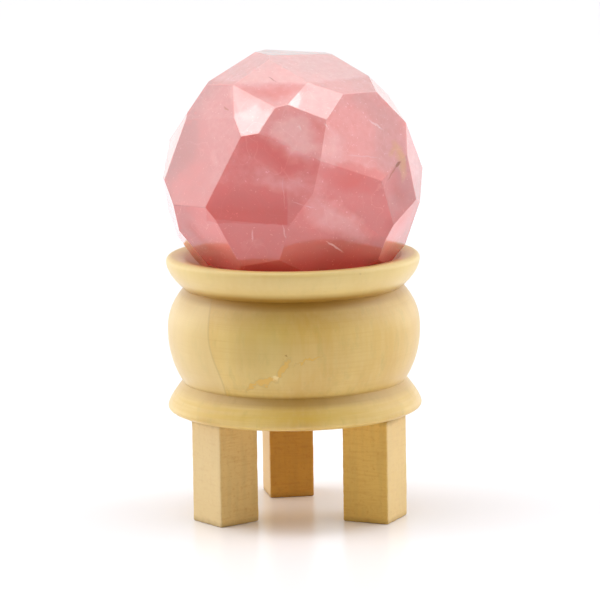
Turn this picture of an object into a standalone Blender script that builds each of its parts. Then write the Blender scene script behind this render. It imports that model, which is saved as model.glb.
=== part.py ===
"""A hand-ground, many-sided ball of rose quartz, resting in the cup of a turned wooden stand on three square legs.

Units are metres and degrees, +Z is up, and the origin is on the floor, under the stand's axis.
"""
import math

import bmesh
import bpy
from mathutils import Vector

# Where two pieces meet, this clearance is left between them
SEAT_GAP = 0.0003

# Quartz ball: the circle that its corners lie near
BALL_RADIUS = 0.030

# Stand: the turned rings, named from the cup down
CUP_EDGE_RADIUS = 0.0257
CUP_EDGE_DROP = 0.0004
CUP_DEPTH = 0.0115
RIM_CREST_RADIUS = 0.0283
RIM_RADIUS = 0.0297
RIM_ROUND = 0.0013
RIM_HEIGHT = 0.0076
UPPER_GROOVE_RADIUS = 0.0256
DRUM_RADIUS = 0.0296
DRUM_HEIGHT = 0.0221
DRUM_WIDEST_HEIGHT = 0.0123
LOWER_GROOVE_RADIUS = 0.0262
FOOT_RING_RADIUS = 0.0298
FOOT_RING_HEIGHT = 0.0071
FOOT_RING_WIDEST_HEIGHT = 0.0014
UNDERSIDE_RADIUS = 0.0282
TURNING_STEPS = 64

# Legs: square posts, sawn by hand, so no two are placed quite alike
LEG_HEIGHT = 0.0244
LEG_EDGE_ROUND = 0.0004
LEGS = {
    "leg_left": {"side": 0.0110, "reach": 0.0195, "around": -148, "turned": 38},
    "leg_right": {"side": 0.0114, "reach": 0.0208, "around": -28, "turned": 65},
    "leg_back": {"side": 0.0107, "reach": 0.0189, "around": 96, "turned": 10},
}

# How full each turned swelling is: 2 is a plain arc, less is a straighter flank, more a squarer shoulder
RIM_UNDER_FULLNESS = 1.8
DRUM_FULLNESS = 2.2
FOOT_RING_TOP_FULLNESS = 1.35
FOOT_RING_BOTTOM_FULLNESS = 2.6

# Flats ground on the ball by eye: turn around the upright axis, tilt up, and depth in percent of the ball's radius.
# A turn of -90 faces the front.
TOP_FLATS = (
    (0, 86, 95),
    (-149, 63, 96.5),
    (-101, 54, 94.5),
    (-45, 69, 91),
    (-6, 41, 97.5),
    (20, 49, 94),
    (87, 58, 95),
    (161, 54, 93.5),
)
SHOULDER_FLATS = (
    (-167, 21, 95.5),
    (-143, 28, 92),
    (-113, 40, 96),
    (-91, 32, 96.5),
    (-82, 46, 96.5),
    (-48, 19, 91.5),
    (7, 24, 94.5),
    (177, 35, 94.5),
)
FRONT_FLATS = (
    (-142, 19, 89.5),
    (-105, 2, 91),
    (-58, -8, 91.5),
    (-38, 0, 95),
    (-15, 7, 98),
    (-24, -24, 98),
    (-68, -23, 90),
    (-106, -14, 95),
    (-140, -25, 96),
    (-163, -36, 97),
    (-171, -14, 97.5),
    (172, 3, 95.5),
    (168, -30, 97),
    (8, -15, 96.5),
)
# The rest is ground in rows: tilt of the row, turn of its first flat, turn from flat to flat, how many, and depth
FLAT_ROWS = (
    (28, 38, 34, 4, 94.5),
    (1, 34, 28, 5, 94.5),
    (-28, 42, 33, 4, 94.5),
    (-54, 10, 51, 7, 95),
    (-77, 20, 120, 3, 95.5),
)
ROW_UNEVENNESS = 3
UNEVENNESS_PER_FLAT = 137
# Corners nearer to each other than this share of the radius run together under the wheel
CORNER_MERGE_SHARE = 200


def material(name, colour, roughness, alpha=1.0):
    """A plain Principled material."""
    made = bpy.data.materials.new(name)
    made.use_nodes = True
    shader = made.node_tree.nodes["Principled BSDF"]
    shader.inputs["Base Color"].default_value = (*colour, 1.0)
    shader.inputs["Roughness"].default_value = roughness
    shader.inputs["Metallic"].default_value = 0.0
    shader.inputs["Alpha"].default_value = alpha
    return made


def direction(turn, tilt):
    """The unit vector that points at a turn around the upright axis and a tilt above level."""
    turn, tilt = math.radians(turn), math.radians(tilt)
    return Vector((math.cos(tilt) * math.cos(turn), math.cos(tilt) * math.sin(turn), math.sin(tilt)))


def ball_flats():
    """Every flat of the ball, as its outward direction and its distance from the centre."""
    flats = [*TOP_FLATS, *SHOULDER_FLATS, *FRONT_FLATS]
    for tilt, first_turn, turn_step, count, depth in FLAT_ROWS:
        for flat in range(count):
            sway = ROW_UNEVENNESS * math.sin(math.radians(UNEVENNESS_PER_FLAT * (flat + 1)))
            flats.append((first_turn + turn_step * flat, tilt + sway, depth))
    return [(direction(turn, tilt), BALL_RADIUS * depth / 100) for turn, tilt, depth in flats]


def ball_mesh():
    """A rough cube of stone, ground down flat by flat."""
    stone = bmesh.new()
    bmesh.ops.create_cube(stone, size=BALL_RADIUS * 2.4)
    for outward, distance in ball_flats():
        everything = stone.verts[:] + stone.edges[:] + stone.faces[:]
        cut = bmesh.ops.bisect_plane(
            stone, geom=everything, plane_co=outward * distance, plane_no=outward, clear_outer=True
        )
        rim = [part for part in cut["geom_cut"] if isinstance(part, bmesh.types.BMEdge)]
        bmesh.ops.edgeloop_fill(stone, edges=rim)
    bmesh.ops.remove_doubles(stone, verts=stone.verts[:], dist=BALL_RADIUS / CORNER_MERGE_SHARE)
    bmesh.ops.recalc_face_normals(stone, faces=stone.faces[:])
    mesh = bpy.data.meshes.new("rose_quartz_ball")
    stone.to_mesh(mesh)
    stone.free()
    return mesh


def swelling(widest, end, fullness, steps, from_end=False):
    """Profile points of one side of a turned swelling, from its widest point to where it ends in a groove."""
    (wide_radius, wide_height), (end_radius, end_height) = widest, end
    points = []
    for step in range(steps + 1):
        share = step / steps
        radius = wide_radius - (wide_radius - end_radius) * share**fullness
        points.append((radius, wide_height + (end_height - wide_height) * share))
    return points[::-1] if from_end else points


def cup_sphere(cup_edge_height):
    """Height of the centre and radius of the sphere that the cup is a part of."""
    radius = (CUP_EDGE_RADIUS**2 + CUP_DEPTH**2) / (2 * CUP_DEPTH)
    return cup_edge_height - CUP_DEPTH + radius, radius


def stand_heights():
    """The heights above the floor at which the stand's rings meet."""
    underside = LEG_HEIGHT + SEAT_GAP
    lower_groove = underside + FOOT_RING_HEIGHT
    upper_groove = lower_groove + DRUM_HEIGHT
    crest = upper_groove + RIM_HEIGHT
    return underside, lower_groove, upper_groove, crest


def stand_profile():
    """The stand's half section, from the middle of the cup, over the rim and down to the middle of the underside."""
    underside, lower_groove, upper_groove, crest = stand_heights()
    cup_edge_height = crest - CUP_EDGE_DROP
    centre_height, cup_radius = cup_sphere(cup_edge_height)
    edge_angle = math.asin(CUP_EDGE_RADIUS / cup_radius)
    cup_steps = 10
    points = []
    for step in range(cup_steps + 1):
        angle = edge_angle * step / cup_steps
        points.append((cup_radius * math.sin(angle), centre_height - cup_radius * math.cos(angle)))
    round_steps = 5
    for step in range(round_steps):
        angle = math.radians(90) * step / round_steps
        radius = RIM_CREST_RADIUS + (RIM_RADIUS - RIM_CREST_RADIUS) * math.sin(angle)
        points.append((radius, crest - RIM_ROUND * (1 - math.cos(angle))))
    rim_widest = (RIM_RADIUS, crest - RIM_ROUND)
    upper_groove_point = (UPPER_GROOVE_RADIUS, upper_groove)
    drum_widest = (DRUM_RADIUS, lower_groove + DRUM_WIDEST_HEIGHT)
    lower_groove_point = (LOWER_GROOVE_RADIUS, lower_groove)
    foot_widest = (FOOT_RING_RADIUS, underside + FOOT_RING_WIDEST_HEIGHT)
    underside_edge = (UNDERSIDE_RADIUS, underside)
    points += swelling(rim_widest, upper_groove_point, RIM_UNDER_FULLNESS, 5)
    points += swelling(drum_widest, upper_groove_point, DRUM_FULLNESS, 7, from_end=True)[1:]
    points += swelling(drum_widest, lower_groove_point, DRUM_FULLNESS, 7)[1:]
    points += swelling(foot_widest, lower_groove_point, FOOT_RING_TOP_FULLNESS, 6, from_end=True)[1:]
    points += swelling(foot_widest, underside_edge, FOOT_RING_BOTTOM_FULLNESS, 6)[1:]
    points.append((0.0, underside))
    return points


def make_stand(collection, wood):
    """The stand, turned from one block: its profile spun round the upright axis."""
    points = stand_profile()
    mesh = bpy.data.meshes.new("turned_stand")
    edges = [(index, index + 1) for index in range(len(points) - 1)]
    mesh.from_pydata([(radius, 0.0, height) for radius, height in points], edges, [])
    stand = bpy.data.objects.new("turned_stand", mesh)
    collection.objects.link(stand)
    turning = stand.modifiers.new("Turning", "SCREW")
    turning.axis = "Z"
    turning.steps = TURNING_STEPS
    turning.render_steps = TURNING_STEPS
    turning.use_merge_vertices = True
    turning.merge_threshold = 0.00002
    turning.use_smooth_shade = True
    mesh.materials.append(wood)
    return stand


def seat_height(mesh):
    """Height of the ball's centre when its lowest corners stand clear of the cup by the seat gap."""
    centre_height, cup_radius = cup_sphere(stand_heights()[3] - CUP_EDGE_DROP)
    reach = cup_radius - SEAT_GAP
    low_corners = [corner.co for corner in mesh.vertices if corner.co.z < 0 and corner.co.xy.length < CUP_EDGE_RADIUS]
    return max(centre_height - corner.z - math.sqrt(reach**2 - corner.xy.length_squared) for corner in low_corners)


def make_ball(collection, quartz):
    """The quartz ball, set down in the cup."""
    mesh = ball_mesh()
    ball = bpy.data.objects.new("rose_quartz_ball", mesh)
    collection.objects.link(ball)
    ball.location.z = seat_height(mesh)
    mesh.materials.append(quartz)
    return ball


def make_leg(collection, wood, name, side, reach, around, turned):
    """One square post, standing on the floor under the stand's foot ring."""
    bpy.ops.mesh.primitive_cube_add(size=1.0)
    leg = bpy.context.active_object
    leg.name = name
    leg.data.name = name
    for corner in leg.data.vertices:
        corner.co = Vector((corner.co.x * side, corner.co.y * side, corner.co.z * LEG_HEIGHT))
    spot = direction(around, 0) * reach
    leg.location = (spot.x, spot.y, LEG_HEIGHT / 2)
    leg.rotation_euler.z = math.radians(turned)
    rounding = leg.modifiers.new("Broken edges", "BEVEL")
    rounding.width = LEG_EDGE_ROUND
    rounding.segments = 2
    leg.data.materials.append(wood)
    for other in list(leg.users_collection):
        other.objects.unlink(leg)
    collection.objects.link(leg)
    return leg


def main():
    for old in list(bpy.data.objects):
        bpy.data.objects.remove(old)
    collection = bpy.data.collections.new("rose_quartz_ball_on_stand")
    bpy.context.scene.collection.children.link(collection)
    quartz = material("rose quartz", (0.80, 0.33, 0.33), 0.08, alpha=0.85)
    stand_wood = material("turned pale wood", (0.74, 0.53, 0.25), 0.42)
    leg_wood = material("sawn pale wood", (0.66, 0.42, 0.16), 0.6)
    make_stand(collection, stand_wood)
    make_ball(collection, quartz)
    for name, sizes in LEGS.items():
        make_leg(collection, leg_wood, name, **sizes)


main()
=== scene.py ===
"""A ball of rose quartz with hand-ground flats, resting on a turned wooden stand with three sawn legs.

Everything is in metres, +Z up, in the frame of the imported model. The camera looks along +Y.
"""
import math

import bpy
from mathutils import Matrix, Vector


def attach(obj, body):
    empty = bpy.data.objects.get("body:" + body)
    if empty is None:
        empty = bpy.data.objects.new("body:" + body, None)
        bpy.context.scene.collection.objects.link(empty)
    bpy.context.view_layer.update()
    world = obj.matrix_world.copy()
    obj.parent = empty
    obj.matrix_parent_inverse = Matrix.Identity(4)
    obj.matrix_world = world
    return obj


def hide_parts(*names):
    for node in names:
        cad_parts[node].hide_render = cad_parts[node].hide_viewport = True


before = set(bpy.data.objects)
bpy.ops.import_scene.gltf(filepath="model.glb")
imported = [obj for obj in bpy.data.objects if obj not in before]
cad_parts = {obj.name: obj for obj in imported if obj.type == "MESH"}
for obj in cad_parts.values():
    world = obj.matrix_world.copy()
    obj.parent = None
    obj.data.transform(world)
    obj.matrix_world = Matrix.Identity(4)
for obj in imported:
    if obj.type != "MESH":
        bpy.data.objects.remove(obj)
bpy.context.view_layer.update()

# White table in a tent of white cloth. Lamps outside the tent light its sides and its top, and the side where
# the camera looks in stays darker. The table top is a white sheet with a slight gloss.
TABLE_SIZE = 12.0
WHITE_SHEET = (0.965, 0.95, 0.99, 1.0)
TENT_FRONT, TENT_BACK, TENT_SIDES, TENT_SEEN = 0.05, 1.72, 1.1, 1.1
TENT_DIMMED = 0.45
CAMERA_PLACE = (0.001513, -0.8, 0.18294)
CAMERA_DIP = 9.415
CAMERA_LEAN = -0.8687
CAMERA_LENS = 207.55

bpy.ops.object.select_all(action="DESELECT")
bpy.ops.mesh.primitive_plane_add(size=TABLE_SIZE)
table_top = bpy.context.object
table_top.name = "table_top"
white_sheet = bpy.data.materials.new("white table sheet")
white_sheet.use_nodes = True
sheet_shader = white_sheet.node_tree.nodes["Principled BSDF"]
sheet_shader.inputs["Base Color"].default_value = WHITE_SHEET
sheet_shader.inputs["Roughness"].default_value = 0.26
table_top.data.materials.append(white_sheet)

tent = bpy.data.worlds.new("white tent")
bpy.context.scene.world = tent
tent.use_nodes = True
tent_nodes = tent.node_tree.nodes
tent_links = tent.node_tree.links
direction = tent_nodes.new("ShaderNodeTexCoord")
split = tent_nodes.new("ShaderNodeSeparateXYZ")
tent_links.new(direction.outputs["Generated"], split.inputs["Vector"])


def tent_level(value, low, high, at_low, at_high):
    """Brightness of the cloth, going from one level to another as the value goes from low to high."""
    level = tent_nodes.new("ShaderNodeMapRange")
    level.inputs["From Min"].default_value = low
    level.inputs["From Max"].default_value = high
    level.inputs["To Min"].default_value = at_low
    level.inputs["To Max"].default_value = at_high
    tent_links.new(value, level.inputs["Value"])
    return level.outputs["Result"]


def tent_sum(operation, *values):
    """One sum of sockets and numbers."""
    sum_node = tent_nodes.new("ShaderNodeMath")
    sum_node.operation = operation
    for socket, value in zip(sum_node.inputs, values):
        if isinstance(value, float):
            socket.default_value = value
        else:
            tent_links.new(value, socket)
    return sum_node.outputs["Value"]


# The cloth is dark in front, and its far upper part and the middle of its side walls are dimmer
open_front = tent_level(split.outputs["Y"], -0.65, 0.15, TENT_FRONT, TENT_BACK)
above_table = tent_sum("ADD", split.outputs["Z"], 0.35)
high_and_far = tent_sum("MULTIPLY", split.outputs["Y"], above_table)
dimmer_back = tent_sum("MULTIPLY", open_front, tent_level(high_and_far, 0.30, 0.45, 1.0, TENT_DIMMED))
side_walls = tent_sum("MULTIPLY", split.outputs["X"], split.outputs["X"])
lit_walls = tent_sum("MULTIPLY_ADD", side_walls, TENT_SIDES, dimmer_back)
dimmer_middle = tent_sum("MULTIPLY", lit_walls, tent_level(side_walls, 0.82, 1.0, 1.0, TENT_DIMMED))
seen_directly = tent_nodes.new("ShaderNodeLightPath")
brightness = tent_nodes.new("ShaderNodeMix")
brightness.inputs["B"].default_value = TENT_SEEN
tent_links.new(seen_directly.outputs["Is Camera Ray"], brightness.inputs["Factor"])
tent_links.new(dimmer_middle, brightness.inputs["A"])
tent_links.new(brightness.outputs["Result"], tent_nodes["Background"].inputs["Strength"])
tent_nodes["Background"].inputs["Color"].default_value = (1.0, 1.0, 1.0, 1.0)

# Width, depth, power and place of the soft lamp over the tent, and of the brighter spots in its cloth
LAMPS = {
    "soft_lamp": (0.9, 0.30, 2.6, (-0.18, -0.09, 1.05)),
    "left_spot": (0.08, 0.03, 0.025, (-0.523, -0.132, 1.04)),
    "near_spot": (0.008, 0.02, 0.003, (0.134, -0.074, 1.04)),
    "far_spot": (0.016, 0.025, 0.007, (0.180, -0.071, 1.04)),
}
for name, (width, depth, power, place) in LAMPS.items():
    lamp_data = bpy.data.lights.new(name, "AREA")
    lamp_data.shape = "RECTANGLE"
    lamp_data.size = width
    lamp_data.size_y = depth
    lamp_data.energy = power
    lamp = bpy.data.objects.new(name, lamp_data)
    lamp.location = place
    lamp.visible_camera = False
    bpy.context.scene.collection.objects.link(lamp)

camera_data = bpy.data.cameras.new("camera")
camera_data.lens = CAMERA_LENS
camera_data.sensor_width = 36.0
camera_data.clip_end = 50.0
camera = bpy.data.objects.new("camera", camera_data)
bpy.context.scene.collection.objects.link(camera)
dip = Matrix.Rotation(math.radians(90.0 - CAMERA_DIP), 4, "X")
lean = Matrix.Rotation(math.radians(CAMERA_LEAN), 4, "Z")
camera.matrix_world = Matrix.Translation(CAMERA_PLACE) @ dip @ lean
bpy.context.scene.camera = camera
bpy.context.scene.view_settings.view_transform = "Standard"
bpy.context.scene.cycles.use_denoising = True

# Turned stand: one block of pale, close-grained wood, spun on a lathe and sanded, with a cup in its top, a
# rounded rim, a swelling drum between two cut grooves and a foot ring. It is sealed with thin satin varnish.
CUP_EDGE_RADIUS, CUP_EDGE_HEIGHT, CUP_DEPTH = 0.0257, 0.0611, 0.0115
RIM_CREST_RADIUS, RIM_CREST_HEIGHT = 0.0283, 0.0615
RIM_RADIUS, RIM_ROUND = 0.0297, 0.0013
UPPER_GROOVE_RADIUS, UPPER_GROOVE_HEIGHT = 0.0256, 0.0539
DRUM_RADIUS, DRUM_WIDEST_HEIGHT = 0.0296, 0.0441
LOWER_GROOVE_RADIUS, LOWER_GROOVE_HEIGHT = 0.0262, 0.0318
FOOT_RING_RADIUS, FOOT_RING_WIDEST_HEIGHT = 0.0298, 0.0261
UNDERSIDE_RADIUS, UNDERSIDE_HEIGHT = 0.0282, 0.0247
TURNING_STEPS, CUP_STEPS, LIP_STEPS = 192, 24, 9
STRAW_WOOD = (0.75, 0.525, 0.148, 1.0)
SAPWOOD = (0.74, 0.56, 0.24, 1.0)
OCHRE_WOOD = (0.63, 0.38, 0.073, 1.0)
OLIVE_WOOD = (0.52, 0.385, 0.09, 1.0)
PALE_FIBRE = (0.75, 0.56, 0.235, 1.0)
GROWTH_LINE = (0.42, 0.29, 0.10, 1.0)
SCAR_WOOD = (0.74, 0.43, 0.055, 1.0)
TORN_FIBRE = (0.86, 0.66, 0.27, 1.0)
PALER_RIM_WOOD = (0.83, 0.65, 0.27, 1.0)
VARNISH_POOL = (0.66, 0.42, 0.05, 1.0)
# Dark brown of the knots, also used as painted shade in and under the grooves
KNOT_AND_SHADE_BROWN = (0.40, 0.20, 0.02, 1.0)


def swelling(widest, end, fullness, steps):
    """Points of one side of a turned swelling, from its widest point to the groove that ends it."""
    points = []
    for step in range(steps + 1):
        share = step / steps
        radius = widest[0] - (widest[0] - end[0]) * share**fullness
        points.append((radius, widest[1] + (end[1] - widest[1]) * share))
    return points


cup_radius = (CUP_EDGE_RADIUS**2 + CUP_DEPTH**2) / (2 * CUP_DEPTH)
cup_centre_height = CUP_EDGE_HEIGHT - CUP_DEPTH + cup_radius
cup_edge_angle = math.asin(CUP_EDGE_RADIUS / cup_radius)
profile = []
for step in range(1, CUP_STEPS + 1):
    angle = cup_edge_angle * step / CUP_STEPS
    profile.append((cup_radius * math.sin(angle), cup_centre_height - cup_radius * math.cos(angle)))
for step in range(LIP_STEPS):
    angle = math.radians(90.0) * step / LIP_STEPS
    lip_radius = RIM_CREST_RADIUS + (RIM_RADIUS - RIM_CREST_RADIUS) * math.sin(angle)
    profile.append((lip_radius, RIM_CREST_HEIGHT - RIM_ROUND * (1 - math.cos(angle))))
upper_groove = (UPPER_GROOVE_RADIUS, UPPER_GROOVE_HEIGHT)
lower_groove = (LOWER_GROOVE_RADIUS, LOWER_GROOVE_HEIGHT)
drum_widest = (DRUM_RADIUS, DRUM_WIDEST_HEIGHT)
foot_widest = (FOOT_RING_RADIUS, FOOT_RING_WIDEST_HEIGHT)
profile += swelling((RIM_RADIUS, RIM_CREST_HEIGHT - RIM_ROUND), upper_groove, 1.8, 14)
profile += swelling(drum_widest, upper_groove, 2.2, 18)[-2::-1]
profile += swelling(drum_widest, lower_groove, 2.2, 20)[1:]
profile += swelling(foot_widest, lower_groove, 1.35, 14)[-2::-1]
profile += swelling(foot_widest, (UNDERSIDE_RADIUS, UNDERSIDE_HEIGHT), 2.6, 14)[1:]
profile.append((0.0, UNDERSIDE_HEIGHT))

bpy.ops.object.select_all(action="DESELECT")
bpy.ops.mesh.primitive_plane_add(size=0.001)
stand = bpy.context.object
stand.name = "turned_wooden_stand"
bpy.ops.object.mode_set(mode="EDIT")
bpy.ops.mesh.merge(type="CENTER")
at = (0.0, CUP_EDGE_HEIGHT - CUP_DEPTH)
bpy.ops.transform.translate(value=(0.0, 0.0, at[1]))
for point in profile:
    step_out = (point[0] - at[0], 0.0, point[1] - at[1])
    bpy.ops.mesh.extrude_region_move(TRANSFORM_OT_translate={"value": step_out})
    at = point
bpy.ops.mesh.select_all(action="SELECT")
bpy.ops.mesh.spin(steps=TURNING_STEPS, angle=math.tau, center=(0.0, 0.0, 0.0), axis=(0.0, 0.0, 1.0))
bpy.ops.mesh.select_all(action="SELECT")
bpy.ops.mesh.remove_doubles(threshold=0.000005)
bpy.ops.mesh.normals_make_consistent(inside=False)
bpy.ops.object.mode_set(mode="OBJECT")
bpy.ops.object.shade_smooth_by_angle(angle=math.radians(40.0))

turned_wood = bpy.data.materials.new("turned pale wood")
turned_wood.use_nodes = True
wood_nodes = turned_wood.node_tree.nodes
wood_links = turned_wood.node_tree.links
wood_shader = wood_nodes["Principled BSDF"]
wood_shader.inputs["Coat Weight"].default_value = 0.5
wood_shader.inputs["Coat Roughness"].default_value = 0.32
wood_place = wood_nodes.new("ShaderNodeTexCoord")


def wood_noise(stretch, turn, detail, roughness=0.5):
    """Noise stretched along the grain of the block: stretch is in features a metre."""
    laid = wood_nodes.new("ShaderNodeMapping")
    laid.inputs["Scale"].default_value = stretch
    laid.inputs["Rotation"].default_value = turn
    noise = wood_nodes.new("ShaderNodeTexNoise")
    noise.inputs["Scale"].default_value = 1.0
    noise.inputs["Detail"].default_value = detail
    noise.inputs["Roughness"].default_value = roughness
    wood_links.new(wood_place.outputs["Object"], laid.inputs["Vector"])
    wood_links.new(laid.outputs["Vector"], noise.inputs["Vector"])
    return noise.outputs["Fac"]


def wood_range(value, low, high, to_low=0.0, to_high=1.0):
    """The value's range from low to high, spread over another range and kept within it."""
    spread = wood_nodes.new("ShaderNodeMapRange")
    spread.inputs["From Min"].default_value = low
    spread.inputs["From Max"].default_value = high
    spread.inputs["To Min"].default_value = to_low
    spread.inputs["To Max"].default_value = to_high
    wood_links.new(value, spread.inputs["Value"])
    return spread.outputs["Result"]


def wood_sum(operation, first, second):
    """One sum of two sockets, or of a socket and a value, kept between 0 and 1."""
    sum_node = wood_nodes.new("ShaderNodeMath")
    sum_node.operation = operation
    sum_node.use_clamp = True
    wood_links.new(first, sum_node.inputs[0])
    if isinstance(second, float):
        sum_node.inputs[1].default_value = second
    else:
        wood_links.new(second, sum_node.inputs[1])
    return sum_node.outputs["Value"]


def wood_tint(amount, below, above):
    """A colour, or a socket's colour, changed towards another by an amount."""
    tint = wood_nodes.new("ShaderNodeMix")
    tint.data_type = "RGBA"
    wood_links.new(amount, tint.inputs["Factor"])
    if isinstance(below, tuple):
        tint.inputs["A"].default_value = below
    else:
        wood_links.new(below, tint.inputs["A"])
    tint.inputs["B"].default_value = above
    return tint.outputs["Result"]


def wood_mark(middle, turn, half_sizes):
    """A lens-shaped mark in the wood: its middle and half sizes in metres."""
    lens = wood_nodes.new("ShaderNodeMapping")
    lens.vector_type = "TEXTURE"
    lens.inputs["Location"].default_value = middle
    lens.inputs["Rotation"].default_value = turn
    lens.inputs["Scale"].default_value = half_sizes
    fade = wood_nodes.new("ShaderNodeTexGradient")
    fade.gradient_type = "SPHERICAL"
    wood_links.new(ragged_place, lens.inputs["Vector"])
    wood_links.new(lens.outputs["Vector"], fade.inputs["Vector"])
    return fade.outputs["Fac"]


ragged = wood_nodes.new("ShaderNodeTexNoise")
ragged.inputs["Scale"].default_value = 700.0
ragged.inputs["Detail"].default_value = 8.0
ragged_push = wood_nodes.new("ShaderNodeVectorMath")
ragged_push.operation = "MULTIPLY_ADD"
ragged_push.inputs[1].default_value = (0.003, 0.003, 0.003)
ragged_back = wood_nodes.new("ShaderNodeVectorMath")
ragged_back.operation = "SUBTRACT"
ragged_back.inputs[1].default_value = (0.0015, 0.0015, 0.0015)
wood_links.new(wood_place.outputs["Object"], ragged.inputs["Vector"])
wood_links.new(ragged.outputs["Color"], ragged_push.inputs[0])
wood_links.new(wood_place.outputs["Object"], ragged_push.inputs[2])
wood_links.new(ragged_push.outputs["Vector"], ragged_back.inputs[0])
ragged_place = ragged_back.outputs["Vector"]

fibres = wood_noise((900.0, 900.0, 60.0), (0.06, 0.14, 0.0), 3.0)
streaks = wood_noise((160.0, 160.0, 16.0), (0.06, 0.2, 0.0), 4.0)
blotches = wood_noise((60.0, 60.0, 34.0), (0.3, 0.5, 0.0), 3.0)
flecks = wood_noise((420.0, 420.0, 150.0), (0.2, 0.3, 0.0), 6.0, 0.7)
wood_colour = wood_tint(wood_range(blotches, 0.4, 0.7), STRAW_WOOD, OCHRE_WOOD)
wood_colour = wood_tint(wood_range(streaks, 0.48, 0.72, 0.0, 0.45), wood_colour, OCHRE_WOOD)
wood_colour = wood_tint(wood_range(fibres, 0.4, 0.7, 0.0, 0.26), wood_colour, PALE_FIBRE)
wood_colour = wood_tint(wood_range(flecks, 0.52, 0.72, 0.0, 0.5), wood_colour, OLIVE_WOOD)
turning_marks = wood_noise((40.0, 40.0, 2600.0), (0.0, 0.0, 0.0), 2.0)
wood_colour = wood_tint(wood_range(turning_marks, 0.5, 0.8, 0.0, 0.45), wood_colour, OCHRE_WOOD)

# Olive heartwood left of the drum's middle
heart = wood_mark((-0.0075, -0.0285, 0.0450), (0.0, 0.0, 0.0), (0.011, 0.012, 0.014))
wood_colour = wood_tint(wood_range(heart, 0.0, 0.7, 0.0, 0.38), wood_colour, OLIVE_WOOD)

# Growth line, seen on the drum and fading towards the back: on its left the wood is paler
GROWTH_LINE_PLACE, GROWTH_LINE_HALF_WIDTH, GROWTH_LINE_BOW = 0.0146, 0.00035, 0.0036
ring_laid = wood_nodes.new("ShaderNodeMapping")
ring_laid.inputs["Rotation"].default_value = (0.0, 0.0, math.radians(12.0))
ring_split = wood_nodes.new("ShaderNodeSeparateXYZ")
wood_links.new(wood_place.outputs["Object"], ring_laid.inputs["Vector"])
wood_links.new(ring_laid.outputs["Vector"], ring_split.inputs["Vector"])
ring_bow = wood_nodes.new("ShaderNodeMapRange")
ring_bow.interpolation_type = "SMOOTHERSTEP"
ring_bow.inputs["From Min"].default_value = 0.048
ring_bow.inputs["From Max"].default_value = 0.030
ring_bow.inputs["To Max"].default_value = GROWTH_LINE_BOW
wood_links.new(ring_split.outputs["Z"], ring_bow.inputs["Value"])
ring_side = wood_nodes.new("ShaderNodeMath")
ring_side.operation = "SUBTRACT"
wood_links.new(ring_split.outputs["X"], ring_side.inputs[0])
wood_links.new(ring_bow.outputs["Result"], ring_side.inputs[1])
on_drum = wood_sum("MULTIPLY", wood_range(ring_split.outputs["Z"], 0.0540, 0.0536),
                   wood_range(ring_split.outputs["Z"], 0.0316, 0.0320))
on_drum = wood_sum("MULTIPLY", on_drum, wood_range(ring_split.outputs["Y"], 0.012, -0.006, 0.15, 1.0))
sapwood = wood_sum("MULTIPLY", wood_range(ring_side.outputs["Value"], -0.0144, -0.0149), on_drum)
wood_colour = wood_tint(wood_sum("MULTIPLY", sapwood, 0.5), wood_colour, SAPWOOD)
line_gap = wood_nodes.new("ShaderNodeMath")
line_gap.operation = "ADD"
line_gap.inputs[1].default_value = GROWTH_LINE_PLACE
line_off = wood_nodes.new("ShaderNodeMath")
line_off.operation = "ABSOLUTE"
wood_links.new(ring_side.outputs["Value"], line_gap.inputs[0])
wood_links.new(line_gap.outputs["Value"], line_off.inputs[0])
growth_line = wood_range(line_off.outputs["Value"], GROWTH_LINE_HALF_WIDTH, 0.0)
growth_line = wood_sum("MULTIPLY", growth_line, on_drum)
wood_colour = wood_tint(wood_sum("MULTIPLY", growth_line, 0.35), wood_colour, GROWTH_LINE)

# Torn grain low on the drum's front, with a few pale fibres and a small knot, and smaller knots all round
scar = wood_mark((-0.0065, -0.0276, 0.0362), (0.0, math.radians(-12.0), 0.0), (0.0040, 0.004, 0.0012))
for middle, turn, half_sizes in (
    ((-0.0027, -0.0290, 0.0391), -58.0, (0.0040, 0.004, 0.0009)),
    ((-0.0099, -0.0260, 0.0347), -48.0, (0.0020, 0.004, 0.0007)),
    ((0.0034, -0.0292, 0.0412), -18.0, (0.0042, 0.004, 0.0004)),
):
    scar = wood_sum("MAXIMUM", scar, wood_mark(middle, (0.0, math.radians(turn), 0.0), half_sizes))
wood_colour = wood_tint(wood_range(scar, 0.0, 0.25, 0.0, 0.32), wood_colour, GROWTH_LINE)
wood_colour = wood_tint(wood_range(scar, 0.15, 0.5, 0.0, 0.85), wood_colour, SCAR_WOOD)
torn_fibres = wood_mark((-0.0043, -0.0284, 0.0370), (0.0, 0.0, 0.0), (0.0010, 0.003, 0.0009))
wood_colour = wood_tint(wood_range(torn_fibres, 0.1, 0.5, 0.0, 0.8), wood_colour, TORN_FIBRE)
drum_knot = wood_mark((-0.0019, -0.0295, 0.0421), (0.0, 0.0, 0.0), (0.00045, 0.003, 0.0004))
wood_colour = wood_tint(wood_range(drum_knot, 0.1, 0.5, 0.0, 0.75), wood_colour, KNOT_AND_SHADE_BROWN)
knots = wood_nodes.new("ShaderNodeTexVoronoi")
knots.inputs["Scale"].default_value = 110.0
wood_links.new(wood_place.outputs["Object"], knots.inputs["Vector"])
knot_dots = wood_range(knots.outputs["Distance"], 0.05, 0.03)
wood_colour = wood_tint(wood_sum("MULTIPLY", knot_dots, 0.6), wood_colour, KNOT_AND_SHADE_BROWN)
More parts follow.
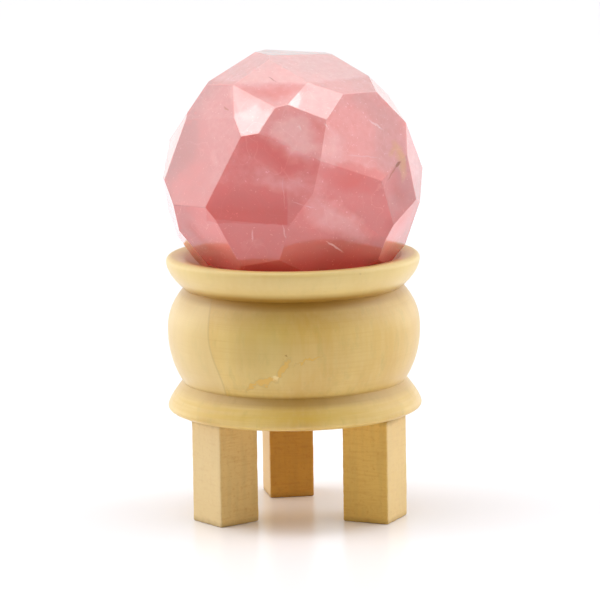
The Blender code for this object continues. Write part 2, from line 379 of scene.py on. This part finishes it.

# Painted shade darkens the two grooves and the slopes under them, most at the front and less at the sides;
# the rim is paler, and varnish has pooled on the foot ring's flank
height = wood_nodes.new("ShaderNodeSeparateXYZ")
wood_links.new(wood_place.outputs["Object"], height.inputs["Vector"])
sideways = wood_nodes.new("ShaderNodeMath")
sideways.operation = "ABSOLUTE"
wood_links.new(height.outputs["X"], sideways.inputs[0])
shade_less_at_sides = wood_range(sideways.outputs["Value"], 0.010, 0.027, 1.0, 0.35)
# Painted shade in and under the grooves: where a band begins, is full, is full to and ends, and its strength
for low_end, low_full, high_full, high_end, strength in (
    (0.0470, 0.0530, 0.0540, 0.0549, 0.5),
    (0.0518, 0.0529, 0.0546, 0.0562, 0.9),
    (0.0293, 0.0304, 0.0319, 0.0325, 0.62),
):
    rises = wood_range(height.outputs["Z"], low_end, low_full)
    falls = wood_range(height.outputs["Z"], high_end, high_full)
    groove_shade = wood_sum("MULTIPLY", wood_sum("MULTIPLY", rises, falls), strength)
    groove_shade = wood_sum("MULTIPLY", groove_shade, shade_less_at_sides)
    wood_colour = wood_tint(groove_shade, wood_colour, KNOT_AND_SHADE_BROWN)
# The rim and cup above the upper groove are paler
paler_rim = wood_sum("MULTIPLY", wood_range(height.outputs["Z"], 0.0545, 0.0560), 0.5)
wood_colour = wood_tint(paler_rim, wood_colour, PALER_RIM_WOOD)
pool = wood_sum("MULTIPLY", wood_range(height.outputs["Z"], 0.0265, 0.0271),
                wood_range(height.outputs["Z"], 0.0305, 0.0290))
pool_rings = wood_range(wood_noise((70.0, 70.0, 1100.0), (0.0, 0.0, 0.0), 2.0), 0.35, 0.65, 0.15, 0.7)
wood_colour = wood_tint(wood_sum("MULTIPLY", pool, pool_rings), wood_colour, VARNISH_POOL)
wood_links.new(wood_colour, wood_shader.inputs["Base Color"])
wood_links.new(wood_range(fibres, 0.3, 0.7, 0.36, 0.5), wood_shader.inputs["Roughness"])
wood_relief = wood_nodes.new("ShaderNodeBump")
wood_relief.inputs["Strength"].default_value = 0.4
wood_relief.inputs["Distance"].default_value = 0.0001
wood_surface = wood_sum("ADD", wood_sum("MULTIPLY", turning_marks, 0.5), wood_sum("MULTIPLY", fibres, 0.5))
wood_links.new(wood_surface, wood_relief.inputs["Height"])
wood_links.new(wood_relief.outputs["Normal"], wood_shader.inputs["Normal"])
stand.data.materials.append(turned_wood)
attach(stand, "root")
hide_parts("turned_stand")

# Legs: three short square posts sawn from the same wood, left rough from the saw and fixed under the foot
# ring. Each has its own colour, with painted shade making the back one darker and more orange, and one side
# of each is painted paler as painted light from the tent's lit side walls.
LEG_HEIGHT = 0.0244
POST_EDGE_WEAR, SAW_RELIEF, SAW_RELIEF_SPACING = 0.0004, 0.0002, 0.0016
PAINTED_LIT_SIDE = (0.81, 0.65, 0.38, 1.0)
# Side, reach from the axis, turn around it, the post's own turn, its colour, painted darker on the back post
# as painted shade, and where its painted lit side faces
LEGS = {
    "left_post": ("leg_left", 0.0110, 0.0195, -148.0, 38.0, (0.76, 0.515, 0.182, 1.0), -142.0),
    "right_post": ("leg_right", 0.0114, 0.0208, -28.0, 65.0, (0.78, 0.485, 0.10, 1.0), -25.0),
    "back_post": ("leg_back", 0.0107, 0.0189, 96.0, 10.0, (0.61, 0.31, 0.04, 1.0), -170.0),
}


def sawn_wood(name, colour, lit_side):
    """Raw sawn wood: upright fibres, pores, nearly level tooth marks of the saw, one side painted paler as
    painted light, and painted shade with a fuzzy edge at the top under the foot ring and at the foot on the
    table.
    """
    wood = bpy.data.materials.new(name)
    wood.use_nodes = True
    nodes = wood.node_tree.nodes
    links = wood.node_tree.links
    shader = nodes["Principled BSDF"]
    place = nodes.new("ShaderNodeTexCoord")

    def grain(stretch, turn, detail):
        """Noise with that many features a metre along each side of the post, and turned."""
        laid = nodes.new("ShaderNodeMapping")
        laid.inputs["Rotation"].default_value = turn
        laid.inputs["Scale"].default_value = stretch
        noise = nodes.new("ShaderNodeTexNoise")
        noise.inputs["Scale"].default_value = 1.0
        noise.inputs["Detail"].default_value = detail
        links.new(place.outputs["Object"], laid.inputs["Vector"])
        links.new(laid.outputs["Vector"], noise.inputs["Vector"])
        return noise.outputs["Fac"]

    def tinted(below, above, value, low, high, most):
        """The colour below, changed towards the one above as the value goes from low to high."""
        share = nodes.new("ShaderNodeMapRange")
        share.inputs["From Min"].default_value = low
        share.inputs["From Max"].default_value = high
        share.inputs["To Max"].default_value = most
        links.new(value, share.inputs["Value"])
        tint = nodes.new("ShaderNodeMix")
        tint.data_type = "RGBA"
        links.new(share.outputs["Result"], tint.inputs["Factor"])
        if isinstance(below, tuple):
            tint.inputs["A"].default_value = below
        else:
            links.new(below, tint.inputs["A"])
        tint.inputs["B"].default_value = above
        return tint.outputs["Result"]

    def shade(red, green, blue):
        """A darker colour of this post's wood."""
        return (colour[0] * red, colour[1] * green, colour[2] * blue, 1.0)

    fibres_up = grain((700.0, 700.0, 90.0), (0.0, 0.0, 0.0), 5.0)
    pores = grain((1300.0, 1300.0, 1300.0), (0.0, 0.0, 0.0), 3.0)
    saw_marks = grain((220.0, 220.0, 1900.0), (math.radians(9.0), math.radians(17.0), 0.0), 3.0)
    wood_now = tinted(colour, shade(0.72, 0.72, 0.72), fibres_up, 0.45, 0.75, 0.3)
    wood_now = tinted(wood_now, shade(0.78, 0.55, 0.3), pores, 0.55, 0.75, 0.4)
    wood_now = tinted(wood_now, shade(0.75, 0.52, 0.3), saw_marks, 0.5, 0.75, 0.3)
    # Painted light: the side facing the tent's lit wall is painted paler
    facing = nodes.new("ShaderNodeNewGeometry")
    towards_lit_side = nodes.new("ShaderNodeVectorMath")
    towards_lit_side.operation = "DOT_PRODUCT"
    lit_turn = math.radians(lit_side)
    towards_lit_side.inputs[1].default_value = (math.cos(lit_turn), math.sin(lit_turn), 0.0)
    links.new(facing.outputs["True Normal"], towards_lit_side.inputs[0])
    wood_now = tinted(wood_now, PAINTED_LIT_SIDE, towards_lit_side.outputs["Value"], 0.6, 0.85, 0.5)
    height_on_post = nodes.new("ShaderNodeSeparateXYZ")
    links.new(place.outputs["Object"], height_on_post.inputs["Vector"])
    wavy_height_for_end_shade = nodes.new("ShaderNodeMath")
    wavy_height_for_end_shade.operation = "MULTIPLY_ADD"
    wavy_height_for_end_shade.inputs[1].default_value = 0.0012
    links.new(fibres_up, wavy_height_for_end_shade.inputs[0])
    links.new(height_on_post.outputs["Z"], wavy_height_for_end_shade.inputs[2])
    # Painted shade at the top of the post, under the foot ring, and at its foot on the table
    for gone, fully, most in ((LEG_HEIGHT - 0.0008, LEG_HEIGHT + 0.0008, 0.8), (0.0020, 0.0006, 0.5)):
        wood_now = tinted(wood_now, shade(0.45, 0.45, 0.45), wavy_height_for_end_shade.outputs["Value"], gone, fully, most)
    links.new(wood_now, shader.inputs["Base Color"])
    shader.inputs["Roughness"].default_value = 0.58
    relief = nodes.new("ShaderNodeBump")
    relief.inputs["Strength"].default_value = 0.8
    relief.inputs["Distance"].default_value = 0.00015
    links.new(saw_marks, relief.inputs["Height"])
    links.new(relief.outputs["Normal"], shader.inputs["Normal"])
    return wood


for name, (node, side, reach, around, turned, colour, lit_side) in LEGS.items():
    bpy.ops.object.select_all(action="DESELECT")
    bpy.ops.mesh.primitive_cube_add(size=1.0)
    post = bpy.context.object
    post.name = name
    post.scale = (side, side, LEG_HEIGHT)
    spot = math.radians(around)
    post.location = (reach * math.cos(spot), reach * math.sin(spot), LEG_HEIGHT / 2)
    post.rotation_euler.z = math.radians(turned)
    bpy.ops.object.transform_apply(location=True, rotation=True, scale=True)
    edges = post.modifiers.new("Worn edges", "BEVEL")
    edges.width = POST_EDGE_WEAR
    edges.segments = 3
    bpy.ops.object.modifier_apply(modifier=edges.name)
    bpy.ops.object.mode_set(mode="EDIT")
    bpy.ops.mesh.select_all(action="SELECT")
    bpy.ops.mesh.subdivide(number_cuts=24)
    bpy.ops.object.mode_set(mode="OBJECT")
    roughness = bpy.data.textures.new(f"{name} saw", "CLOUDS")
    roughness.noise_scale = SAW_RELIEF_SPACING
    roughness.noise_depth = 2
    torn = post.modifiers.new("Saw cut", "DISPLACE")
    torn.texture = roughness
    torn.texture_coords = "LOCAL"
    torn.mid_level = 0.5
    torn.strength = SAW_RELIEF
    bpy.ops.object.modifier_apply(modifier=torn.name)
    bpy.ops.object.shade_smooth_by_angle(angle=math.radians(35.0))
    post.data.materials.append(sawn_wood(f"{name} sawn wood", colour, lit_side))
    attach(post, "root")
    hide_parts(node)

# Quartz ball: one piece of cloudy rose quartz, ground by hand on a wheel into flats and polished. It is loose
# and rests in the cup by its own weight.
ROSE_QUARTZ = (0.865, 0.345, 0.325, 1.0)
MILKY_AND_LIT_QUARTZ = (0.94, 0.67, 0.66, 1.0)
SHADED_DEEP_ROSE = (0.79, 0.19, 0.16, 1.0)
IRON_STAIN = (0.86, 0.48, 0.22, 1.0)
CRACK_WHITE = (1.0, 0.90, 0.89, 1.0)
DARK_PIT = (0.30, 0.09, 0.04, 1.0)
DEPTH_TINT = (1.0, 0.42, 0.39, 1.0)
DEPTH_DENSITY = 42.0
# How much light goes through the stone where it is clearest and where it is cloudiest
CLEAREST, CLOUDIEST = 0.5, 0.22
EDGE_WEAR = 0.00012
BALL_CENTRE_MM = (0.0, 0.0, 79.55)
# Clouds, cracks and stains in the stone, and painted patches: the deep patches are painted shade, and some
# milky veils are painted light on the upper front flats. Each row: two ends in mm from the ball's centre,
# half width, half depth and strength
MILKY_VEILS_AND_LIT_PATCHES = (
    ((-19.6, -17.4, 6.5), (5.2, -28.3, -0.5), 3.6, 4.0, 0.65),
    ((5.0, -28.0, -4.0), (17.7, -19.7, -12.5), 5.0, 4.0, 0.75),
    ((-12.0, -14.0, 22.5), (-8.0, -23.3, 15.5), 4.0, 4.0, 0.6),
    ((-14.0, -22.0, -13.0), (-6.0, -25.0, -12.0), 3.5, 3.0, 0.3),
    ((-3.0, -19.8, 20.5), (10.3, -20.0, 19.0), 3.0, 4.0, 0.5),
    ((-3.0, -26.2, 14.5), (7.0, -26.4, 10.5), 8.0, 9.0, 0.68),
)
SHADE_PATCHES = (
    ((-9.4, -25.3, 10.5), (6.0, -28.0, 5.5), 3.6, 4.0, 0.8),
    ((6.7, -28.4, 4.0), (21.0, -19.4, 0.2), 3.6, 4.0, 0.9),
    ((24.1, -15.5, -0.4), (25.9, -13.1, -5.4), 4.0, 5.0, 1.0),
    ((-11.0, -17.5, 21.6), (2.0, -18.0, 21.9), 3.0, 4.0, 0.4),
    ((6.4, -25.0, 14.8), (7.4, -27.1, 10.5), 2.6, 4.0, 0.3),
    ((-25.0, -9.1, 9.5), (-21.5, -17.0, -3.7), 10.5, 9.0, 1.0),
    ((-23.9, -14.4, -9.0), (-17.8, -16.8, -14.0), 5.0, 5.0, 0.9),
    ((26.0, -9.0, -7.0), (22.3, -16.6, -11.0), 6.0, 7.0, 1.0),
)
# Bounds of a wedge of painted shade low on the front: the axis, where the wedge begins and where it is full,
# in mm
SHADE_WEDGE_BOUNDS = (
    ("X", -19.9, -19.3),
    ("X", -0.8, -1.2),
    ("Z", 2.0, -4.5),
    ("Z", -7.6, -7.2),
    ("Y", -15.0, -20.0),
)
BRIGHT_CRACKS = (
    ((7.5, -23.2, -12.0), (11.8, -20.0, -15.2), 0.3, 1.5, 0.6),
    ((-9.2, -26.0, -8.6), (-9.0, -25.0, -11.4), 0.25, 1.2, 0.35),
    ((-0.2, -28.4, -2.1), (5.4, -28.0, -3.6), 0.2, 1.2, 0.4),
    ((-2.1, -28.1, -7.2), (-1.6, -27.5, -10.5), 0.2, 1.2, 0.3),
    ((-2.3, -28.4, 7.0), (-1.6, -28.2, -4.5), 0.16, 1.0, 0.3),
    ((1.9, -25.6, 14.9), (2.2, -25.2, 13.5), 0.25, 1.0, 0.5),
    ((7.8, -25.4, 15.3), (8.2, -25.0, 14.3), 0.25, 1.0, 0.5),
    ((17.8, -16.4, 15.0), (21.0, -14.5, 12.3), 0.35, 1.5, 0.4),
    ((12.0, -24.6, 7.9), (20.5, -18.0, 6.3), 0.25, 1.2, 0.2),
)
STAINS = (
    ((24.5, -14.5, 8.5), (26.2, -12.8, 1.2), 1.8, 3.0, 0.8),
    ((22.5, -16.0, 6.2), (25.5, -13.5, 7.2), 1.2, 2.0, 0.6),
)
PITS = (
    ((-15.3, -15.6, 18.3), (-13.9, -17.6, 17.4), 0.3, 1.6, 0.85),
    ((24.9, -14.5, 4.8), (23.9, -15.9, 3.9), 0.45, 1.6, 1.0),
    ((24.2, -15.5, 4.3), (21.7, -18.5, 0.9), 0.28, 1.6, 0.8),
    ((-5.2, -13.8, 25.0), (-3.0, -15.6, 23.7), 0.2, 1.2, 0.5),
    ((8.2, -28.0, -17.2), (8.6, -27.8, -17.4), 0.3, 3.0, 0.6),
)
# Flats painted lighter or darker by the way they face: the side they face, how nearly a flat has to face it
# for a trace of the paint and for all of it, and the strength. The upper ones in front are painted paler as
# painted light from above, those at the flanks duskier as painted shade that tones down their bright
# reflections.
LIT_FLATS = ((0.10, -0.62, 0.78), 0.64, 0.95, 0.45)
SHADED_FLATS = (
    ((-0.80, -0.60, 0.10), 0.90, 0.925, 0.6),
    ((0.79, -0.62, 0.0), 0.97, 0.995, 0.3),
)
SHADED_ROSE = (0.57, 0.23, 0.22, 1.0)

bpy.ops.object.select_all(action="DESELECT")
ball = bpy.data.objects.new("ground_quartz_ball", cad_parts["rose_quartz_ball"].data.copy())
bpy.context.scene.collection.objects.link(ball)
bpy.context.view_layer.objects.active = ball
ball.select_set(True)
ball.data.materials.clear()
bpy.ops.object.mode_set(mode="EDIT")
bpy.ops.mesh.select_all(action="SELECT")
bpy.ops.mesh.remove_doubles(threshold=0.00001)
bpy.ops.mesh.dissolve_limited(angle_limit=math.radians(0.5))
bpy.ops.mesh.normals_make_consistent(inside=False)
bpy.ops.object.mode_set(mode="OBJECT")
wear = ball.modifiers.new("Polished edges", "BEVEL")
wear.width = EDGE_WEAR
wear.segments = 2
wear.limit_method = "ANGLE"
wear.angle_limit = math.radians(3.0)
bpy.ops.object.modifier_apply(modifier=wear.name)

quartz = bpy.data.materials.new("rose quartz")
quartz.use_nodes = True
quartz_nodes = quartz.node_tree.nodes
quartz_links = quartz.node_tree.links
quartz_shader = quartz_nodes["Principled BSDF"]
quartz_shader.inputs["Roughness"].default_value = 0.22
quartz_shader.inputs["IOR"].default_value = 1.54
quartz_shader.inputs["Specular IOR Level"].default_value = 0.1
quartz_shader.inputs["Subsurface Weight"].default_value = 0.6
quartz_shader.inputs["Subsurface Radius"].default_value = (1.0, 0.4, 0.35)
quartz_shader.inputs["Subsurface Scale"].default_value = 0.005
quartz_shader.inputs["Coat Weight"].default_value = 1.0
quartz_shader.inputs["Coat Roughness"].default_value = 0.02
quartz_shader.inputs["Coat IOR"].default_value = 1.54

# The stone's own grid in millimetres from the ball's centre
stone_place = quartz_nodes.new("ShaderNodeTexCoord")
stone_grid = quartz_nodes.new("ShaderNodeMapping")
stone_grid.inputs["Scale"].default_value = (1000.0, 1000.0, 1000.0)
stone_grid.inputs["Location"].default_value = [-value for value in BALL_CENTRE_MM]
quartz_links.new(stone_place.outputs["Object"], stone_grid.inputs["Vector"])
stone_grid = stone_grid.outputs["Vector"]


def stone_noise(scale, detail, grid):
    """Noise with a feature size of one over scale in millimetres."""
    noise = quartz_nodes.new("ShaderNodeTexNoise")
    noise.inputs["Scale"].default_value = scale
    noise.inputs["Detail"].default_value = detail
    quartz_links.new(grid, noise.inputs["Vector"])
    return noise


def bent_grid(scale, amount):
    """The stone's grid, pushed about by noise of that scale, in millimetres."""
    push = quartz_nodes.new("ShaderNodeVectorMath")
    push.operation = "MULTIPLY_ADD"
    push.inputs[1].default_value = (amount, amount, amount)
    quartz_links.new(stone_noise(scale, 3.0, stone_grid).outputs["Color"], push.inputs[0])
    quartz_links.new(stone_grid, push.inputs[2])
    centred = quartz_nodes.new("ShaderNodeVectorMath")
    centred.operation = "SUBTRACT"
    centred.inputs[1].default_value = (amount / 2, amount / 2, amount / 2)
    quartz_links.new(push.outputs["Vector"], centred.inputs[0])
    return centred.outputs["Vector"]


def number(operation, first, second):
    """One sum of two sockets, or of a socket and a value."""
    sum_node = quartz_nodes.new("ShaderNodeMath")
    sum_node.operation = operation
    sum_node.use_clamp = True
    quartz_links.new(first, sum_node.inputs[0])
    if isinstance(second, float):
        sum_node.inputs[1].default_value = second
    else:
        quartz_links.new(second, sum_node.inputs[1])
    return sum_node.outputs["Value"]


def spread(value, low, high, to_low, to_high):
    """The value's range from low to high, spread over another range and kept within it."""
    share = quartz_nodes.new("ShaderNodeMapRange")
    share.inputs["From Min"].default_value = low
    share.inputs["From Max"].default_value = high
    share.inputs["To Min"].default_value = to_low
    share.inputs["To Max"].default_value = to_high
    quartz_links.new(value, share.inputs["Value"])
    return share.outputs["Result"]


def inclusions_and_painted_patches(rows, grid, softness):
    """How much of one kind of inclusion, or of painted light or shade, there is: each row is a flat lens
    between its two ends.
    """
    total = None
    for start, end, half_width, half_depth, strength in rows:
        start, end = Vector(start), Vector(end)
        along = (end - start).normalized()
        outward = (start + end).normalized()
        outward = (outward - along * outward.dot(along)).normalized()
        turned = Matrix((along, outward, along.cross(outward))).transposed()
        lens = quartz_nodes.new("ShaderNodeMapping")
        lens.vector_type = "TEXTURE"
        lens.inputs["Location"].default_value = (start + end) / 2
        lens.inputs["Rotation"].default_value = turned.to_euler()
        lens.inputs["Scale"].default_value = ((end - start).length / 2 + half_width, half_depth, half_width)
        fade = quartz_nodes.new("ShaderNodeTexGradient")
        fade.gradient_type = "SPHERICAL"
        quartz_links.new(grid, lens.inputs["Vector"])
        quartz_links.new(lens.outputs["Vector"], fade.inputs["Vector"])
        amount = number("MULTIPLY", number("MULTIPLY", fade.outputs["Fac"], 1.0 / softness), strength)
        total = amount if total is None else number("MAXIMUM", total, amount)
    return total


def colour_mix(amount, below, above):
    """A colour, or the colour of a socket, changed towards another by an amount."""
    mix = quartz_nodes.new("ShaderNodeMix")
    mix.data_type = "RGBA"
    quartz_links.new(amount, mix.inputs["Factor"])
    if isinstance(below, tuple):
        mix.inputs["A"].default_value = below
    else:
        quartz_links.new(below, mix.inputs["A"])
    mix.inputs["B"].default_value = above
    return mix.outputs["Result"]


# The grid is bent a little, so that no cloud or crack has a drawn outline
cloud_grid = bent_grid(0.12, 7.0)
crack_grid = bent_grid(0.5, 0.9)
# Pale cap of the stone: above a level 23 mm over the centre it is painted paler, as painted light from the
# lamp above; the milky parts lie in thin wavy layers
layers_grid = quartz_nodes.new("ShaderNodeMapping")
layers_grid.inputs["Scale"].default_value = (0.06, 0.06, 0.42)
layers_grid.inputs["Rotation"].default_value = (0.1, 0.05, 0.0)
quartz_links.new(cloud_grid, layers_grid.inputs["Vector"])
layers = stone_noise(1.0, 2.0, layers_grid.outputs["Vector"]).outputs["Fac"]
level = quartz_nodes.new("ShaderNodeSeparateXYZ")
quartz_links.new(crack_grid, level.inputs["Vector"])
lit_cap = spread(level.outputs["Z"], 23.1, 23.7, 0.0, 1.0)
wisps = spread(layers, 0.42, 0.68, 0.0, 0.1)
mottle = spread(stone_noise(0.7, 8.0, crack_grid).outputs["Fac"], 0.35, 0.75, 0.0, 0.14)

flat_facing = quartz_nodes.new("ShaderNodeNewGeometry")


def flats_towards(side, trace, most, strength):
    """How much painted light or shade a flat gets, by how nearly it faces one side."""
    facing_side = quartz_nodes.new("ShaderNodeVectorMath")
    facing_side.operation = "DOT_PRODUCT"
    facing_side.inputs[1].default_value = side
    quartz_links.new(flat_facing.outputs["True Normal"], facing_side.inputs[0])
    return spread(facing_side.outputs["Value"], trace, most, 0.0, strength)


# Milky clouds in the stone, with painted light added: some veils, the paler upper front flats and the pale
# cap
milky_and_lit = number("MAXIMUM", inclusions_and_painted_patches(MILKY_VEILS_AND_LIT_PATCHES, cloud_grid, 0.6), wisps)
milky_and_lit = number("MAXIMUM", milky_and_lit, flats_towards(*LIT_FLATS))
milky_and_lit = number("ADD", milky_and_lit, mottle)
milky_and_lit = number("ADD", milky_and_lit, number("MULTIPLY", lit_cap, 0.25))

# Painted shade: the stone is painted deeper and redder towards its foot, in patches and in the wedge, and
# there it is less milky
shaded_low_part = spread(level.outputs["Z"], 2.0, -19.0, 0.0, 0.6)
deep_shade = number("MAXIMUM", inclusions_and_painted_patches(SHADE_PATCHES, cloud_grid, 0.9), shaded_low_part)
bounds = quartz_nodes.new("ShaderNodeSeparateXYZ")
quartz_links.new(bent_grid(0.3, 0.8), bounds.inputs["Vector"])
shade_wedge = None
for side, begins, full in SHADE_WEDGE_BOUNDS:
    bound = spread(bounds.outputs[side], begins, full, 0.0, 1.0)
    shade_wedge = bound if shade_wedge is None else number("MULTIPLY", shade_wedge, bound)
deep_shade = number("MAXIMUM", deep_shade, number("MULTIPLY", shade_wedge, 0.85))
milky_and_lit = number("SUBTRACT", milky_and_lit, number("MULTIPLY", deep_shade, 0.7))

# Fine white specks, and healed cracks that show as thin pale lines where the noise crosses its middle value
specks = spread(stone_noise(1.9, 2.0, stone_grid).outputs["Fac"], 0.66, 0.74, 0.0, 0.5)
milky_and_lit = number("ADD", milky_and_lit, specks)
healed_off = quartz_nodes.new("ShaderNodeMath")
healed_off.operation = "SUBTRACT"
healed_off.inputs[1].default_value = 0.5
healed_near = quartz_nodes.new("ShaderNodeMath")
healed_near.operation = "ABSOLUTE"
quartz_links.new(stone_noise(0.10, 1.0, bent_grid(0.5, 0.8)).outputs["Fac"], healed_off.inputs[0])
quartz_links.new(healed_off.outputs["Value"], healed_near.inputs[0])
milky_and_lit = number("ADD", milky_and_lit, spread(healed_near.outputs["Value"], 0.004, 0.0, 0.0, 0.18))
cracks = inclusions_and_painted_patches(BRIGHT_CRACKS, crack_grid, 0.5)
pits = inclusions_and_painted_patches(PITS, crack_grid, 0.4)
stone_colour = colour_mix(milky_and_lit, ROSE_QUARTZ, MILKY_AND_LIT_QUARTZ)
stone_colour = colour_mix(deep_shade, stone_colour, SHADED_DEEP_ROSE)
for shaded_flats in SHADED_FLATS:
    stone_colour = colour_mix(flats_towards(*shaded_flats), stone_colour, SHADED_ROSE)
stone_colour = colour_mix(inclusions_and_painted_patches(STAINS, cloud_grid, 0.6), stone_colour, IRON_STAIN)
stone_colour = colour_mix(cracks, stone_colour, CRACK_WHITE)
stone_colour = colour_mix(pits, stone_colour, DARK_PIT)
quartz_links.new(stone_colour, quartz_shader.inputs["Base Color"])
# Where the stone is milky or painted light, less light goes through it
clouded_and_lit = number("MAXIMUM", number("MAXIMUM", milky_and_lit, cracks), pits)
quartz_links.new(spread(clouded_and_lit, 0.0, 1.0, CLEAREST, CLOUDIEST), quartz_shader.inputs["Transmission Weight"])
waves = quartz_nodes.new("ShaderNodeBump")
waves.inputs["Strength"].default_value = 0.12
waves.inputs["Distance"].default_value = 0.0004
quartz_links.new(stone_noise(0.11, 1.0, stone_grid).outputs["Fac"], waves.inputs["Height"])
quartz_links.new(waves.outputs["Normal"], quartz_shader.inputs["Normal"])
quartz_links.new(waves.outputs["Normal"], quartz_shader.inputs["Coat Normal"])
depth_colour = quartz_nodes.new("ShaderNodeVolumeAbsorption")
depth_colour.inputs["Color"].default_value = DEPTH_TINT
depth_colour.inputs["Density"].default_value = DEPTH_DENSITY
quartz_links.new(depth_colour.outputs["Volume"], quartz_nodes["Material Output"].inputs["Volume"])
ball.data.materials.append(quartz)
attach(ball, "root")
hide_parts("rose_quartz_ball")
